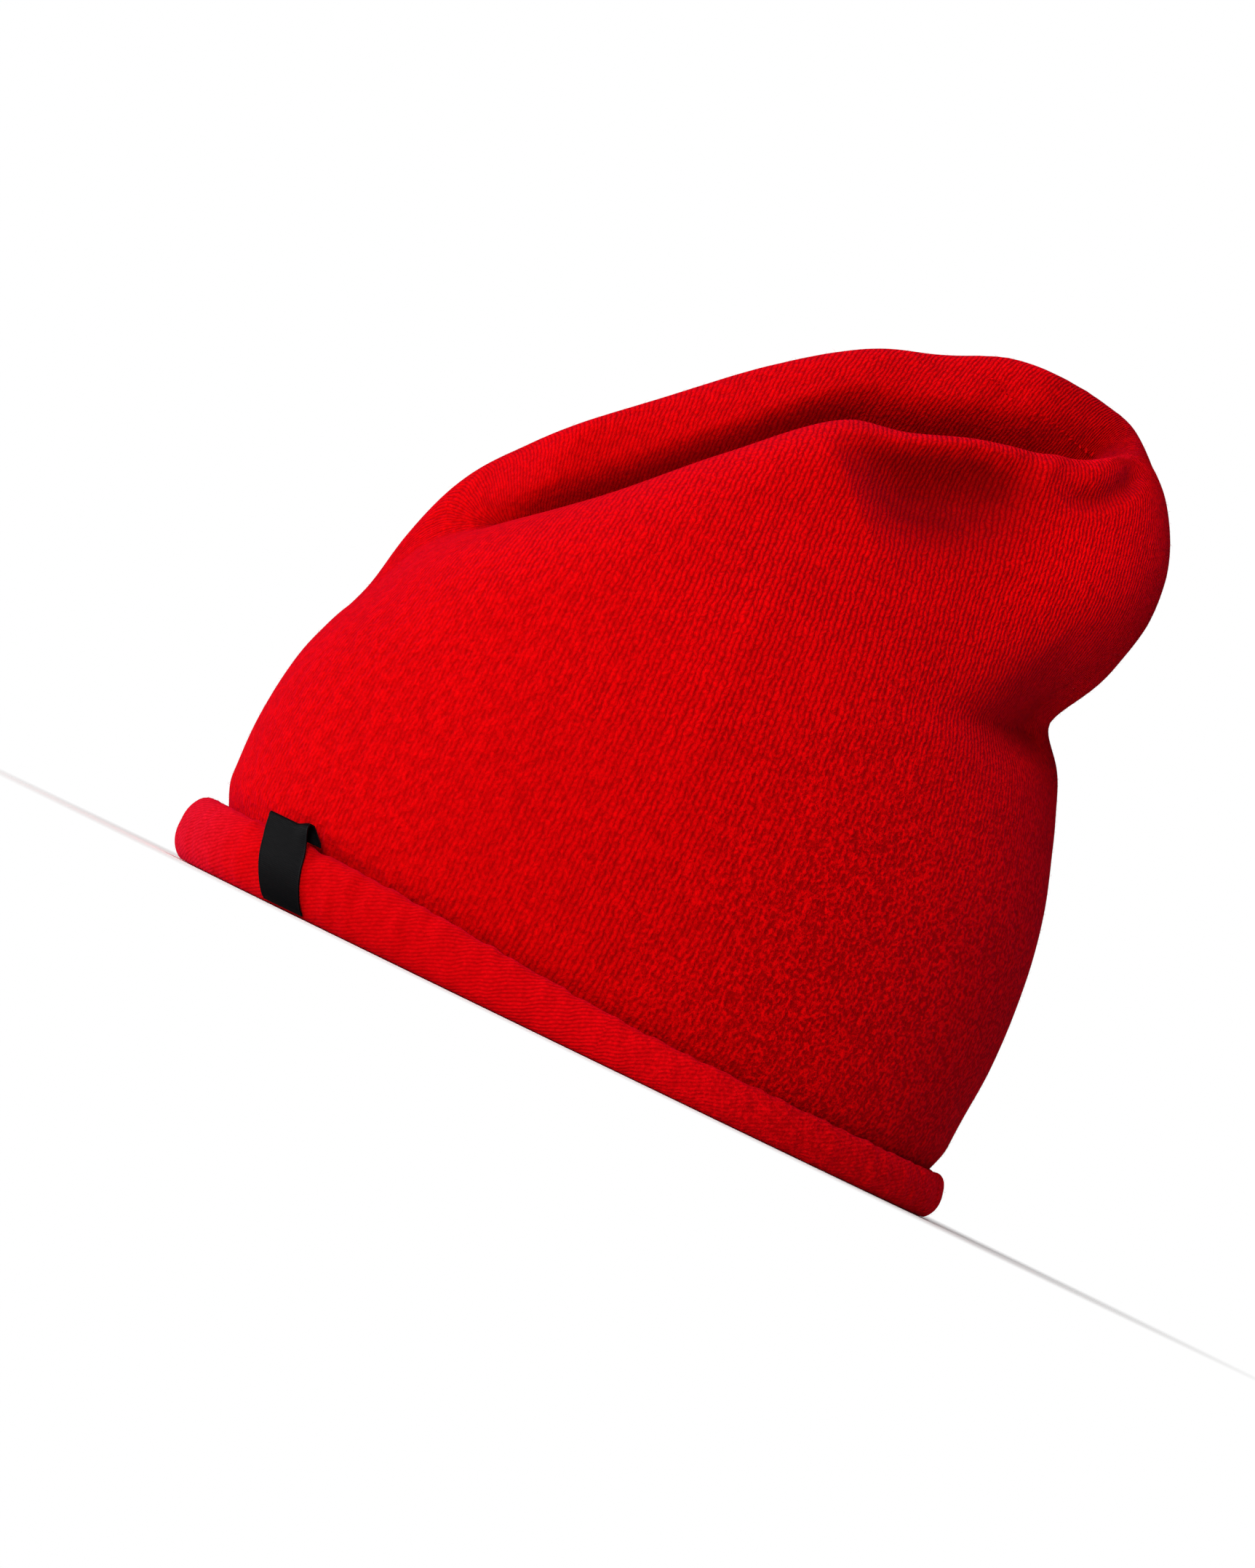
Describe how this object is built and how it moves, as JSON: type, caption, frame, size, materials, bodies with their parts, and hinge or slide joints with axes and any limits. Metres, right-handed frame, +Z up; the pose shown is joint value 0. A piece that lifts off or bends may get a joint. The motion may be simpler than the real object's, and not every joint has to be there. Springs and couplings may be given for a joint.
{
  "type": "beanie",
  "caption": "Fine-knit slouch beanie with a rolled hem, a slack top folded into a front-to-back valley, and a small folded ribbon label at the left of the forehead.",
  "frame": {"origin": "middle of the rim, on the surface that the hat rests on", "axes": "+Z up through the crown, the forehead towards -Y, the wearer's left towards +X"},
  "size_m": [0.1668, 0.2214, 0.2137],
  "materials": {
    "red_knit": "fine stockinette knit, lightly felted and fuzzy, matte",
    "red_knit_reverse": "reverse side of the same knit, fine slanting ridges, matte",
    "black_ribbon": "close-woven ribbon with a faint sheen"
  },
  "bodies": {
    "root": {"crown": "red_knit", "rolled_hem": "red_knit_reverse", "label": "black_ribbon"}
  },
  "joints": []
}
